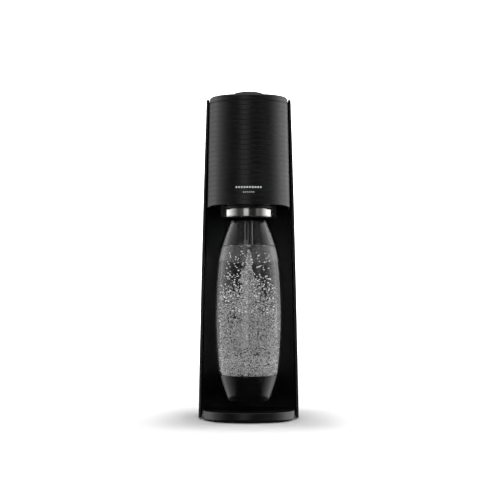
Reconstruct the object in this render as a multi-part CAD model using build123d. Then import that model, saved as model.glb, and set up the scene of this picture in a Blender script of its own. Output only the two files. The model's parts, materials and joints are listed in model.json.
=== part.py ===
from build123d import *
import math
import os

# Soda carbonator: base, two side shells, ribbed head, tilting snap-lock with its bottle,
# and a gas cylinder in the rear bay behind a pull-off cover.
# Millimetres. X to the right, Y to the rear, Z up. The origin is on the worktop under the
# middle of the machine. The bottle and the gas cylinder stand on the two axes below.
BOTTLE_Y = -31.0
CYLINDER_Y = 56.0
REAR_Y = 91.0
BASE_R = 60.0
HEAD_TOP_Z = 420.0
LID_TOP_Z = 421.0
BASE_TOP_Z = 13.3

# Outer shells
SHELL_WALL = 3.6
SHELL_FRONT_Y = -21.0
SHELL_BOTTOM_Z = 2.0
CORNER_R = 38.0
SEAM_Y = 52.0
SEAM_GAP = 0.5
BOSS_HEIGHTS = (60.0, 200.0, 340.0)
LATCH_Y = 80.0
LATCH_ROOF_Z = 417.4
LATCH_FLOOR_Z = 405.5

# Bottom plate, feet and screws
PLATE_LOW_Z = 2.0
PLATE_HIGH_Z = 4.2
FOOT_PLACES = {"front_left_foot": (-38.0, -58.0), "front_right_foot": (38.0, -58.0),
               "rear_left_foot": (-42.0, 58.0), "rear_right_foot": (42.0, 58.0)}
BASE_SCREW_PLACES = ((-20.0, -76.0), (20.0, -76.0), (-50.0, 20.0), (50.0, 20.0))

# Head
DRUM_BOTTOM_Z = 279.5
DRUM_SIDE_Z = 277.7
DRUM_BOTTOM_R = 53.7
DRUM_TOP_R = 50.8
DRUM_WALL = 2.5
DRUM_REAR_Y = 10.0
SEAM_GROOVE_Z = 412.7
GROOVE_PITCH = 6.37
GROOVE_COUNT = 20
GROOVE_HALF = 0.55
GROOVE_DEPTH = 0.55
DECK_Z = 374.0
DECK_THICK = 4.0
DECK_HALF = 40.5

# Frame between the two bays
POST_X = 34.0
POST_WIDE = 8.0
POST_FRONT_Y = 21.5
POST_REAR_Y = 30.0

# Button and its lever
BUTTON_R = 21.0
BUTTON_TOP_Z = 429.4
BUTTON_UNDER_Z = 426.0
BUTTON_SKIRT_Z = 416.0
STEM_R = 5.0
STEM_BOTTOM_Z = 403.0
SPRING_SEAT_Z = 407.0
PUSH_PIN_TOP_Z = 393.9
ROCKER_PIVOT_Y = 76.0
ROCKER_PIVOT_Z = 398.0
ROCKER_PIN_R = 2.5

# Snap-lock
TILT_Y = -17.0
TILT_Z = 305.0
TILT_PIN_R = 4.0
COLLAR_BOTTOM_Z = 264.0
COLLAR_TOP_Z = 293.0
COLLAR_R = 30.6
BAND_R = 32.0
BAND_LOW_Z = 265.4
BAND_HIGH_Z = 276.5
ARM_IN = 31.0
ARM_OUT = 36.3
YOKE_IN = 37.0
YOKE_OUT = 41.0
NOZZLE_LOW_Z = 228.6
HOSE_X = 45.0
HOSE_Z = 386.0
HOSE_R = 2.5
HOSE_NOTCH_X = 29.0

# Bottle: largest diameter 88.7, mouth 30 outside and 24 inside
BOTTLE_BOTTOM_Z = 24.0
BOTTLE_MOUTH_Z = 288.0
BOTTLE_OUTLINE = ((31.1, 28.7), (38.9, 55.0), (43.0, 91.5), (44.35, 131.0),
                  (43.4, 170.0), (40.3, 209.0), (33.5, 240.6), (25.5, 261.6))
NECK_R = 15.0
MOUTH_R = 12.0
FLANGE_R = 18.5
FLANGE_LOW_Z = 271.0
FLANGE_Z = 278.0
CUP_TOP_Z = 59.0
CUP_WALL = 1.6

# Gas cylinder: 60 in diameter, 358 tall over its valve
CYL_FLOOR_Z = 16.0
CYL_R = 30.0
LABEL_WALL = 0.3
CYL_WALL = 3.0
CYL_NECK_R = 14.5
CYL_TOP_Z = CYL_FLOOR_Z + 358.0
PIN_GAP = 0.1

# Valve block over the cylinder, and the lever that clamps the cylinder
BLOCK_FRONT_Y = 41.0
BLOCK_REAR_Y = 72.0
BLOCK_HALF = 16.0
BLOCK_LOW_Z = 378.0
BLOCK_HIGH_Z = 392.0
PISTON_R = 9.0
PUSH_PIN_R = 2.5
LOCK_PIVOT_Z = 386.0
LOCK_BAR_Y = 83.0
LOCK_BAR_Z = 366.0
LOCK_ARM_IN = 18.0
LOCK_ARM_OUT = 21.0


def box(x0, x1, y0, y1, z0, z1):
    """Box between two opposite corners."""
    middle = Pos((x0 + x1) / 2, (y0 + y1) / 2, (z0 + z1) / 2)
    return middle * Box(x1 - x0, y1 - y0, z1 - z0)


def post(x, y, z0, z1, r):
    """Upright cylinder between two heights."""
    return Pos(x, y, (z0 + z1) / 2) * Cylinder(r, z1 - z0)


def axle(y, z, x0, x1, r):
    """Cylinder along X between two places."""
    return Pos((x0 + x1) / 2, y, z) * Rot(0, 90, 0) * Cylinder(r, x1 - x0)


def lathe(y, points, arc=360.0, start=0.0):
    """Closed (radius, height) outline turned about the upright axis at (0, y)."""
    outline = Plane.XZ * make_face(Polyline(*points, close=True))
    return Pos(0, y, 0) * Rot(0, 0, start) * revolve(outline, Axis.Z, arc)


def both_sides(solid):
    """The solid and its mirror image across the middle plane."""
    return solid + mirror(solid, Plane.YZ)


def coil_spring(x, y, z0, z1, mean_r, wire_d, turns):
    """Round-wire compression spring standing between two heights."""
    rise = z1 - z0 - wire_d
    path = Helix(rise / turns, rise, mean_r)
    section = Plane(path @ 0, z_dir=path % 0) * Circle(wire_d / 2)
    return Pos(x, y, z0 + wire_d / 2) * sweep(section, path, is_frenet=True)


def half_width(z):
    """Half the width over the side shells, which lean in more towards the top."""
    return 66.0 - 0.01634 * z - 2.15e-5 * z * z


def body_section(z, inset):
    """Plan of the body at one height: straight sides and two rounded rear corners."""
    half = half_width(z) - inset
    rear = REAR_Y - inset
    plan = Pos(0, (rear + SHELL_FRONT_Y) / 2, z) * Rectangle(2 * half, rear - SHELL_FRONT_Y)
    corners = plan.vertices().group_by(Axis.Y)[-1]
    return fillet(corners, CORNER_R - inset)


def body_solid(inset, z0, z1):
    """The whole body between two heights as one solid, set in by a constant distance."""
    heights = [z0 + (z1 - z0) * step / 3 for step in range(4)]
    return loft([body_section(z, inset) for z in heights])


def side_shell(side):
    """One side wall with the bosses that meet the frame; side is +1 right or -1 left."""
    wall = body_solid(0, SHELL_BOTTOM_Z, HEAD_TOP_Z) - body_solid(SHELL_WALL, -5, HEAD_TOP_Z + 5)
    wall = wall & box(30, 80, SHELL_FRONT_Y - 1, SEAM_Y, -5, HEAD_TOP_Z + 5)
    front_edges = [e for e in wall.edges() if abs(e.center().Y - SHELL_FRONT_Y) < 0.01 and e.length > 300]
    wall = fillet(front_edges, 1.0)
    post_side = POST_X + POST_WIDE
    for z in BOSS_HEIGHTS:
        middle_y = (POST_FRONT_Y + POST_REAR_Y) / 2
        wall = wall + axle(middle_y, z, post_side, half_width(z) - SHELL_WALL / 2, 4.0)
    return wall if side > 0 else mirror(wall, Plane.YZ)


def rear_cover():
    """U-shaped rear cover with its own roof, six guide tabs and the latch pocket."""
    front = SEAM_Y + SEAM_GAP
    solid = body_solid(0, SHELL_BOTTOM_Z, HEAD_TOP_Z)
    hollow = body_solid(SHELL_WALL, -5, HEAD_TOP_Z + 5) & box(-80, 80, -30, 100, -10, LATCH_ROOF_Z)
    cover = (solid & box(-80, 80, front, 100, -5, HEAD_TOP_Z + 5)) - hollow
    for z in BOSS_HEIGHTS:
        out = half_width(z) - SHELL_WALL - 0.5
        tab = box(out - 2.0, out, front - 6, front + 12, z - 30, z - 18)
        tab = tab + box(out - 2.0, out + 1.5, front + 1, front + 12, z - 30, z - 18)
        cover = cover + both_sides(tab)
    pocket = box(-8.5, 8.5, LATCH_Y - 5.5, LATCH_Y + 5.5, LATCH_FLOOR_Z - 1.5, LATCH_ROOF_Z + 0.5)
    opening = box(-7, 7, LATCH_Y - 4, LATCH_Y + 4, LATCH_FLOOR_Z, HEAD_TOP_Z + 1)
    return cover + pocket - opening


def latch_button():
    """Push button in the cover's roof."""
    button = box(-6.7, 6.7, LATCH_Y - 3.7, LATCH_Y + 3.7, LATCH_FLOOR_Z + 6, HEAD_TOP_Z + 1.2)
    return fillet(button.edges().group_by(Axis.Z)[-1], 0.8)


def base_plan(inset):
    """Plan of the base: a half round front and rounded rear corners, drawn at z = 0."""
    rear = REAR_Y - SHELL_WALL - 0.8 - inset
    front = Pos(0, BOTTLE_Y, 0) * Circle(BASE_R - inset)
    back = Pos(0, (rear + BOTTLE_Y) / 2, 0) * Rectangle(2 * (BASE_R - inset), rear - BOTTLE_Y)
    back = fillet(back.vertices().group_by(Axis.Y)[-1], CORNER_R - SHELL_WALL - inset)
    return front + back


def base_pan():
    """Base moulding, open below, with a screw boss over each screw."""
    pan = extrude(Pos(0, 0, 1.2) * base_plan(0), BASE_TOP_Z - 1.2)
    pan = fillet(pan.edges().group_by(Axis.Z)[0], 4.0)
    pan = fillet(pan.edges().group_by(Axis.Z)[-1], 1.0)
    pan = pan - extrude(Pos(0, 0, -1) * base_plan(4.3), 6)
    pan = pan - extrude(Pos(0, 0, 4.5) * base_plan(2.6), BASE_TOP_Z - 2.5 - 4.5)
    for x, y in BASE_SCREW_PLACES:
        pan = pan + post(x, y, PLATE_HIGH_Z, BASE_TOP_Z - 2.0, 4.0)
        pan = pan - post(x, y, 0, 10.0, 1.4)
    return pan


def bottom_plate():
    """Flat plate that closes the base from below."""
    plate = extrude(Pos(0, 0, PLATE_LOW_Z) * base_plan(4.6), PLATE_HIGH_Z - PLATE_LOW_Z)
    for x, y in FOOT_PLACES.values():
        plate = plate - post(x, y, 0, 10, 3.0)
    for x, y in BASE_SCREW_PLACES:
        plate = plate - post(x, y, 0, 10, 1.7)
    return plate


def foot(x, y):
    """Rubber foot with a stud pushed up through the bottom plate."""
    pad = fillet(post(x, y, 0, PLATE_LOW_Z, 7.5).edges().group_by(Axis.Z)[0], 0.6)
    return pad + post(x, y, PLATE_LOW_Z - 0.5, PLATE_HIGH_Z, 3.0)


def base_screws():
    """Pan-head screws that hold the bottom plate."""
    screws = Part()
    for x, y in BASE_SCREW_PLACES:
        head = post(x, y, 0.8, PLATE_LOW_Z, 2.8) - box(x - 3, x + 3, y - 0.4, y + 0.4, 0, 1.4)
        screws = screws + head + post(x, y, PLATE_LOW_Z - 0.2, 9.5, 1.35)
    return screws


def bottle_bay_liner():
    """Concave panel behind the bottle, from the base to the head."""
    centre_y = BOTTLE_Y - 22.0
    ring = Pos(0, centre_y, 0) * (Cylinder(72.2, 900) - Cylinder(70.0, 900))
    inside = body_solid(SHELL_WALL + 1.0, -5, HEAD_TOP_Z + 5)
    return ring & inside & box(-80, 80, -19.5, 25, BASE_TOP_Z + 0.2, DRUM_SIDE_Z - 0.3)


def inner_frame():
    """Two posts between the bays, tied by a foot and two cross bars."""
    posts = both_sides(box(POST_X, POST_X + POST_WIDE, POST_FRONT_Y, POST_REAR_Y, BASE_TOP_Z, DECK_Z))
    foot_bar = box(-POST_X, POST_X, POST_FRONT_Y, 25, BASE_TOP_Z, BASE_TOP_Z + 6)
    frame = posts + foot_bar
    for z in (126.0, 296.0):
        frame = frame + box(-POST_X, POST_X, POST_FRONT_Y, 25, z - 6, z + 6)
    return frame


def cylinder_cradle():
    """Tray under the gas cylinder with a rim round its front half."""
    plate = post(0, CYLINDER_Y, BASE_TOP_Z, CYL_FLOOR_Z, 30.5)
    rim = post(0, CYLINDER_Y, BASE_TOP_Z, CYL_FLOOR_Z + 9, 33.5) - post(0, CYLINDER_Y, CYL_FLOOR_Z, 90, 30.6)
    rim = rim & box(-40, 40, POST_REAR_Y + 0.5, CYLINDER_Y, 0, 60)
    return (plate & box(-40, 40, POST_REAR_Y + 0.5, 90, 0, 60)) + rim


def cylinder_saddle():
    """Half ring on the upper cross bar that steadies the cylinder from the front."""
    ring = post(0, CYLINDER_Y, 246, 258, 33.4) - post(0, CYLINDER_Y, 240, 270, 30.5)
    ring = ring & box(-40, 40, 0, CYLINDER_Y, 240, 270)
    ears = both_sides(box(30.8, POST_X + 4, POST_REAR_Y, POST_REAR_Y + 22, 246, 258))
    ears = ears - post(0, CYLINDER_Y, 240, 270, 30.5)
    return ring + ears


def drum_r(z):
    """Outer radius of the tapered head at one height."""
    share = (z - DRUM_BOTTOM_Z) / (HEAD_TOP_Z - DRUM_BOTTOM_Z)
    return DRUM_BOTTOM_R + (DRUM_TOP_R - DRUM_BOTTOM_R) * share


def drum_profile():
    """Wall section of the head from the bottle axis outwards, with its row of V grooves."""
    outer = [(drum_r(DRUM_SIDE_Z) - 0.4, DRUM_SIDE_Z), (drum_r(DRUM_SIDE_Z), DRUM_SIDE_Z + 0.4)]
    for step in range(GROOVE_COUNT, 0, -1):
        z = SEAM_GROOVE_Z - step * GROOVE_PITCH
        outer.append((drum_r(z - GROOVE_HALF), z - GROOVE_HALF))
        outer.append((drum_r(z) - GROOVE_DEPTH, z))
        outer.append((drum_r(z + GROOVE_HALF), z + GROOVE_HALF))
    outer.append((drum_r(SEAM_GROOVE_Z), SEAM_GROOVE_Z - GROOVE_HALF))
    outer.append((drum_r(SEAM_GROOVE_Z) - GROOVE_DEPTH, SEAM_GROOVE_Z))
    inner = [(drum_r(SEAM_GROOVE_Z) - DRUM_WALL, SEAM_GROOVE_Z), (drum_r(DRUM_SIDE_Z) - DRUM_WALL, DRUM_SIDE_Z)]
    return outer + inner


def drum_solid(points):
    """A half round front about the bottle axis and two straight sides, all of one wall section."""
    front = lathe(BOTTLE_Y, points, arc=180.0, start=180.0)
    section = Plane.XZ * make_face(Polyline(*points, close=True))
    right = Pos(0, BOTTLE_Y, 0) * extrude(section, DRUM_REAR_Y - BOTTLE_Y, dir=(0, 1, 0))
    return front + both_sides(right)


def head_drum():
    """Ribbed shell of the head, its lower rim a little higher at the front than at the sides."""
    below_front = Polyline((-95, 270), (-95, DRUM_BOTTOM_Z), (-66, DRUM_BOTTOM_Z))
    rise = Spline((-66, DRUM_BOTTOM_Z), (-38, DRUM_SIDE_Z), tangents=((1, 0), (1, 0)))
    under_sides = Polyline((-38, DRUM_SIDE_Z), (-38, 270), (-95, 270))
    arch = Pos(-70, 0, 0) * extrude(Plane.YZ * make_face(below_front + rise + under_sides), 140)
    return drum_solid(drum_profile()) - arch


def top_cover():
    """Lid of the head, rounded at its edge, with the round hole for the button."""
    low_z = SEAM_GROOVE_Z + 0.05
    r = DRUM_TOP_R
    plan = Pos(0, BOTTLE_Y, 0) * Circle(r)
    plan = plan + Pos(0, (SEAM_Y - 0.4 + BOTTLE_Y) / 2, 0) * Rectangle(2 * r, SEAM_Y - 0.4 - BOTTLE_Y)
    hollow_plan = offset(plan, -2.4)
    lid = extrude(Pos(0, 0, low_z) * plan, LID_TOP_Z - low_z)
    top_rim = [e for e in lid.edges().group_by(Axis.Z)[-1] if e.center().Y < SEAM_Y - 1]
    lid = fillet(top_rim, 3.2)
    low_rim = [e for e in lid.edges().group_by(Axis.Z)[0] if e.center().Y < SEAM_Y - 1]
    lid = chamfer(low_rim, 0.6)
    lid = lid - extrude(Pos(0, 0, low_z - 1) * hollow_plan, LID_TOP_Z - 3.4 - low_z + 1)
    lid = lid - post(0, BOTTLE_Y, low_z - 5, LID_TOP_Z + 5, BUTTON_R + 0.5)
    return lid


def head_bottom_ring():
    """Floor of the head with the opening that the snap-lock swings in."""
    r = drum_r(DRUM_BOTTOM_Z + 2) - DRUM_WALL - 0.2
    plan = Pos(0, BOTTLE_Y, 0) * Circle(r)
    plan = plan + Pos(0, (DRUM_REAR_Y + BOTTLE_Y) / 2, 0) * Rectangle(2 * r, DRUM_REAR_Y - BOTTLE_Y)
    opening = Pos(0, BOTTLE_Y - 6, 0) * Circle(38.0)
    opening = opening + Pos(0, BOTTLE_Y + 14, 0) * Rectangle(76, 40)
    return extrude(Pos(0, 0, DRUM_BOTTOM_Z + 1) * (plan - opening), 2.2)


def head_deck():
    """Plate across the head that carries the button guide and the valve block, notched for the hose."""
    top = DECK_Z + DECK_THICK
    plate = box(-DECK_HALF, DECK_HALF, -48, POST_REAR_Y + 2, DECK_Z, top)
    ears = both_sides(box(DECK_HALF - 1, 47.6, -40, -31, DECK_Z, top))
    tongue = box(-17, 17, POST_REAR_Y, BLOCK_FRONT_Y + 3, DECK_Z + 0.5, top)
    rails = both_sides(box(11, 17, BLOCK_FRONT_Y, BLOCK_REAR_Y, DECK_Z + 0.5, BLOCK_LOW_Z))
    hose_notch = box(HOSE_NOTCH_X, DECK_HALF + 5, -8, 14, DECK_Z - 1, top + 1)
    hose_notch = fillet(hose_notch.edges().filter_by(Axis.Z).group_by(Axis.X)[0], 3.0)
    return plate + ears + tongue + rails - hose_notch


def deck_screws():
    """Two screws into the posts and two into the valve block."""
    screws = Part()
    for x, y, low_z in ((POST_X + 4, 26.0, DECK_Z + DECK_THICK), (14.0, 69.0, BLOCK_HIGH_Z)):
        for side in (-1, 1):
            screws = screws + post(side * x, y, low_z, low_z + 1.8, 2.6)
    return screws


def snap_lock_yoke():
    """Two cheeks that hang from the deck and carry the snap-lock's pins."""
    low_z = DRUM_BOTTOM_Z + 3.2
    cheek = box(YOKE_IN, YOKE_OUT, TILT_Y - 10, TILT_Y + 10, low_z, DECK_Z)
    cheek = cheek - axle(TILT_Y, TILT_Z, 30, 50, TILT_PIN_R + 0.06)
    tie = box(-YOKE_OUT, YOKE_OUT, TILT_Y - 10, TILT_Y - 4, DECK_Z - 4, DECK_Z)
    return both_sides(cheek) + tie


def hose_swivel():
    """Rotary fitting on the right snap-lock pin, where the gas hose ends."""
    block = box(YOKE_OUT, 48.5, TILT_Y - 5.5, TILT_Y + 5.5, TILT_Z - 6, TILT_Z + 10)
    block = fillet(block.edges().filter_by(Axis.X), 1.5)
    block = block - axle(TILT_Y, TILT_Z, YOKE_OUT - 1, 45, TILT_PIN_R + 0.06)
    return block + post(HOSE_X, TILT_Y, TILT_Z + 9.5, TILT_Z + 13, 3.0)


def gas_hose():
    """Gas hose from the valve block to the swivel, one tube on tangent arcs."""
    route = [(8, BLOCK_FRONT_Y, HOSE_Z), (8, 24, HOSE_Z), (30, 10, HOSE_Z - 2), (HOSE_X, -4, 368),
             (HOSE_X, TILT_Y, 346), (HOSE_X, TILT_Y, TILT_Z + 13)]
    radii = []
    for before, corner, after in zip(route, route[1:], route[2:]):
        run_in = Vector(*corner) - Vector(*before)
        run_out = Vector(*after) - Vector(*corner)
        half_turn = math.radians(run_in.get_angle(run_out)) / 2
        radii.append(0.45 * min(run_in.length, run_out.length) / math.tan(half_turn))
    print("hose bend radii", [round(r, 1) for r in radii])
    path = FilletPolyline(*route, radius=radii)
    section = Plane(path @ 0, z_dir=path % 0) * Circle(HOSE_R)
    return sweep(section, path)


def button_guide():
    """Bridge over the rocker with the collar that guides the button's stem."""
    low_z = DECK_Z + DECK_THICK
    bridge = both_sides(box(24, 29, BOTTLE_Y - 10, BOTTLE_Y + 10, low_z, SPRING_SEAT_Z))
    bridge = bridge + box(-29, 29, BOTTLE_Y - 10, BOTTLE_Y + 10, SPRING_SEAT_Z - 3.4, SPRING_SEAT_Z)
    bridge = bridge + post(0, BOTTLE_Y, SPRING_SEAT_Z - 1, SPRING_SEAT_Z + 7, 7.4)
    return bridge - post(0, BOTTLE_Y, SPRING_SEAT_Z - 10, SPRING_SEAT_Z + 10, STEM_R + 0.06)


def carbonating_button():
    """Round push button with a low dome, hollow below."""
    crown = ThreePointArc((0, BUTTON_TOP_Z), (8.6, BUTTON_TOP_Z - 0.56), (17.2, BUTTON_TOP_Z - 2.27))
    shoulder = ThreePointArc((17.2, BUTTON_TOP_Z - 2.27), (19.95, BUTTON_TOP_Z - 4.05),
                             (BUTTON_R, BUTTON_TOP_Z - 7.1))
    inside = Polyline((BUTTON_R, BUTTON_TOP_Z - 7.1), (BUTTON_R, BUTTON_SKIRT_Z), (BUTTON_R - 2, BUTTON_SKIRT_Z),
                      (BUTTON_R - 2, BUTTON_UNDER_Z - 4.5), (BUTTON_R - 6, BUTTON_UNDER_Z),
                      (0, BUTTON_UNDER_Z), (0, BUTTON_TOP_Z))
    outline = Plane.XZ * make_face(crown + shoulder + inside)
    return Pos(0, BOTTLE_Y, 0) * revolve(outline, Axis.Z)


def button_stem():
    """Round stem from the button down to the rocker."""
    return post(0, BOTTLE_Y, STEM_BOTTOM_Z, BUTTON_UNDER_Z, STEM_R)


def button_spring():
    """Return spring round the stem."""
    return coil_spring(0, BOTTLE_Y, SPRING_SEAT_Z, BUTTON_UNDER_Z, 9.4, 1.2, 6)


def rocker_lever():
    """Long lever from the button's stem back over the push pin to its pivot."""
    bar = box(-5.5, 5.5, BOTTLE_Y - 3, ROCKER_PIVOT_Y, 395, 401)
    bar = bar + axle(ROCKER_PIVOT_Y, ROCKER_PIVOT_Z, -5.5, 5.5, 4.0)
    bar = bar + axle(BOTTLE_Y, STEM_BOTTOM_Z - 4.1, -5.5, 5.5, 4.0)
    bar = bar + axle(CYLINDER_Y, PUSH_PIN_TOP_Z + 3.1, -3.5, 3.5, 3.0)
    return bar - axle(ROCKER_PIVOT_Y, ROCKER_PIVOT_Z, -10, 10, ROCKER_PIN_R + 0.06)


def rocker_pin():
    """Pin that the rocker turns on."""
    return axle(ROCKER_PIVOT_Y, ROCKER_PIVOT_Z, -10.5, 10.5, ROCKER_PIN_R)


def valve_block():
    """Block over the gas cylinder with ears for the rocker's pin."""
    block = box(-BLOCK_HALF, BLOCK_HALF, BLOCK_FRONT_Y, BLOCK_REAR_Y, BLOCK_LOW_Z, BLOCK_HIGH_Z)
    block = fillet(block.edges().filter_by(Axis.Z), 2.0)
    ear = axle(ROCKER_PIVOT_Y, ROCKER_PIVOT_Z, 6.5, 9.5, 4.0)
    ear = ear + box(6.5, 9.5, 62, ROCKER_PIVOT_Y, BLOCK_HIGH_Z - 1, ROCKER_PIVOT_Z + 2)
    ear = ear + box(6.5, 9.5, 62, BLOCK_REAR_Y, BLOCK_HIGH_Z - 2, BLOCK_HIGH_Z + 2)
    block = block + both_sides(ear)
    block = block - axle(ROCKER_PIVOT_Y, ROCKER_PIVOT_Z, -12, 12, ROCKER_PIN_R + 0.02)
    block = block - post(0, CYLINDER_Y, BLOCK_LOW_Z - 1, 385, PISTON_R + 0.06)
    block = block - post(0, CYLINDER_Y, BLOCK_LOW_Z, 400, PUSH_PIN_R + 0.08)
    return block - both_sides(axle(CYLINDER_Y, LOCK_PIVOT_Z, 11.9, 20, 2.52))


def lock_lever_pins():
    """Two stub pins in the valve block that the lock lever turns on."""
    return both_sides(axle(CYLINDER_Y, LOCK_PIVOT_Z, 12, LOCK_ARM_OUT + 1, 2.5))


def coupling_piston():
    """Seal carrier that drops on the cylinder's valve."""
    piston = post(0, CYLINDER_Y, CYL_TOP_Z + 1.6, 381.5, PISTON_R)
    return piston - post(0, CYLINDER_Y, 370, 390, PUSH_PIN_R + 0.08)


def coupling_seal():
    """Rubber ring under the seal carrier."""
    seal = post(0, CYLINDER_Y, CYL_TOP_Z + PIN_GAP, CYL_TOP_Z + 1.6, 7.0)
    return seal - post(0, CYLINDER_Y, 370, 390, 3.2)


def push_pin():
    """Pin through the valve block, between the rocker and the cylinder's valve."""
    return post(0, CYLINDER_Y, CYL_TOP_Z + PIN_GAP, PUSH_PIN_TOP_Z, PUSH_PIN_R)


def lock_lever():
    """U-shaped handle that clamps the gas cylinder."""
    reach = math.hypot(LOCK_BAR_Y - CYLINDER_Y, LOCK_PIVOT_Z - LOCK_BAR_Z)
    slope = math.degrees(math.atan2(LOCK_BAR_Z - LOCK_PIVOT_Z, LOCK_BAR_Y - CYLINDER_Y))
    arm = Pos((LOCK_ARM_IN + LOCK_ARM_OUT) / 2, CYLINDER_Y, LOCK_PIVOT_Z) * Rot(slope, 0, 0)
    bar = arm * (Pos(0, reach / 2, 0) * Box(LOCK_ARM_OUT - LOCK_ARM_IN, reach, 6.0))
    side = bar + axle(CYLINDER_Y, LOCK_PIVOT_Z, LOCK_ARM_IN, LOCK_ARM_OUT, 5.5)
    side = side + axle(LOCK_BAR_Y, LOCK_BAR_Z, LOCK_ARM_IN, LOCK_ARM_OUT, 3.0)
    handle = both_sides(side) + axle(LOCK_BAR_Y, LOCK_BAR_Z, -LOCK_ARM_OUT, LOCK_ARM_OUT, 3.0)
    return handle - axle(CYLINDER_Y, LOCK_PIVOT_Z, -30, 30, 2.56)


def snap_lock_housing():
    """Black collar round the bottle's neck with two arms up to the tilt pins."""
    ring = lathe(BOTTLE_Y, [(0, COLLAR_BOTTOM_Z), (COLLAR_R - 0.6, COLLAR_BOTTOM_Z),
                            (COLLAR_R + 0.4, COLLAR_BOTTOM_Z + 1), (COLLAR_R + 0.4, BAND_LOW_Z - 0.1),
                            (COLLAR_R, BAND_LOW_Z - 0.1), (COLLAR_R, BAND_HIGH_Z + 0.1),
                            (COLLAR_R + 0.8, BAND_HIGH_Z + 0.1), (COLLAR_R + 0.8, 279.5),
                            (28.0, 282.5), (28.0, COLLAR_TOP_Z), (0, COLLAR_TOP_Z)])
    arm = box(ARM_IN, ARM_OUT, BOTTLE_Y + 3, BOTTLE_Y + 22, COLLAR_BOTTOM_Z, TILT_Z + 7)
    arm = fillet(arm.edges().filter_by(Axis.X), 3.0)
    arm = arm + box(24, ARM_IN + 1, BOTTLE_Y + 4, BOTTLE_Y + 18, COLLAR_BOTTOM_Z + 3, COLLAR_TOP_Z)
    hollow = lathe(BOTTLE_Y, [(0, 250), (27.8, 250), (27.8, 271.7), (29.5, 271.7), (29.5, 278.6),
                              (19.4, 278.6), (19.4, 284.6), (15.7, 284.6), (15.7, 290.6), (8.6, 290.6),
                              (8.6, 310), (0, 310)])
    housing = ring + both_sides(arm) - hollow
    return housing - both_sides(axle(TILT_Y, TILT_Z, ARM_IN - 2, ARM_OUT + 2, TILT_PIN_R + 0.02))


def trim_band():
    """Brushed metal band round the front of the collar, with a fine lower lip."""
    outline = [(COLLAR_R + 0.02, BAND_LOW_Z), (BAND_R + 0.35, BAND_LOW_Z), (BAND_R + 0.35, BAND_LOW_Z + 0.9),
               (BAND_R, BAND_LOW_Z + 1.2), (BAND_R, BAND_HIGH_Z), (COLLAR_R + 0.02, BAND_HIGH_Z)]
    return lathe(BOTTLE_Y, outline, arc=168.0, start=186.0)


def snap_lock_pins():
    """Two tilt pins; the right one is hollow in the real machine and carries the gas."""
    left = axle(TILT_Y, TILT_Z, -YOKE_OUT, -ARM_IN, TILT_PIN_R)
    return left + axle(TILT_Y, TILT_Z, ARM_IN, 44.5, TILT_PIN_R)


def nozzle_manifold():
    """Gas head on top of the collar, with a rib to the right-hand arm."""
    body = post(0, BOTTLE_Y, COLLAR_TOP_Z, COLLAR_TOP_Z + 10, 17.0)
    body = fillet(body.edges().group_by(Axis.Z)[-1], 1.5)
    rib = box(12, ARM_IN, TILT_Y - 7, TILT_Y, COLLAR_TOP_Z + 1, COLLAR_TOP_Z + 9)
    return body + rib


def relief_valve():
    """Pressure relief valve on the gas head."""
    valve = post(-8, BOTTLE_Y, COLLAR_TOP_Z + 10, COLLAR_TOP_Z + 22, 4.0)
    valve = valve + post(-8, BOTTLE_Y, COLLAR_TOP_Z + 10, COLLAR_TOP_Z + 14, 5.2)
    return chamfer(valve.edges().group_by(Axis.Z)[-1], 0.8)


def mouth_seal():
    """Rubber ring that the bottle's mouth is pressed against."""
    return post(0, BOTTLE_Y, BOTTLE_MOUTH_Z + 0.05, 290.55, 15.6) - post(0, BOTTLE_Y, 280, 300, 9.4)


def nozzle_sleeve():
    """Sleeve round the gas tube, a little slimmer towards its lower end."""
    outline = [(0, NOZZLE_LOW_Z), (6.0, NOZZLE_LOW_Z), (6.6, NOZZLE_LOW_Z + 1.0), (6.9, 280), (8.5, 284),
               (8.5, COLLAR_TOP_Z - 0.05), (0, COLLAR_TOP_Z - 0.05)]
    return lathe(BOTTLE_Y, outline)


def nozzle_tip():
    """Fine jet at the end of the sleeve."""
    outline = [(0, NOZZLE_LOW_Z - 6.8), (1.6, NOZZLE_LOW_Z - 6.8), (2.5, NOZZLE_LOW_Z - 5.6),
               (2.8, NOZZLE_LOW_Z), (0, NOZZLE_LOW_Z)]
    return lathe(BOTTLE_Y, outline)


def gripper_jaw(side):
    """Arc-shaped jaw under the bottle's neck flange; side is +1 right or -1 left."""
    slope = (FLANGE_R - NECK_R) / (FLANGE_Z - FLANGE_LOW_Z)
    low_z = 272.3
    high_z = 277.3
    low_r = NECK_R + slope * (low_z - FLANGE_LOW_Z) + 0.4
    high_r = NECK_R + slope * (high_z - FLANGE_LOW_Z) + 0.4
    outline = [(low_r, low_z), (23.0, low_z), (23.0, high_z), (high_r, high_z)]
    start = -40.0 if side > 0 else 140.0
    return lathe(BOTTLE_Y, outline, arc=80.0, start=start)


def bottle_outline_solid(inset):
    """Bottle from its rounded foot to its shoulder as one solid, set in by a wall thickness."""
    side = [(r - inset, z) for r, z in BOTTLE_OUTLINE]
    foot_z = BOTTLE_BOTTOM_Z + inset
    side[0] = (side[0][0], max(side[0][1], foot_z + 3))
    curve = Spline(*side)
    foot_r = side[0][0] - 3.2
    lines = Line((0, foot_z), (foot_r, foot_z)) + ThreePointArc(
        (foot_r, foot_z), (side[0][0] - 0.9, foot_z + 0.8), side[0])
    top_r, top_z = side[-1]
    closing = Polyline((top_r, top_z), (0, top_z), (0, foot_z))
    outline = Plane.XZ * make_face(lines + curve + closing)
    return Pos(0, BOTTLE_Y, 0) * revolve(outline, Axis.Z)


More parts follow.
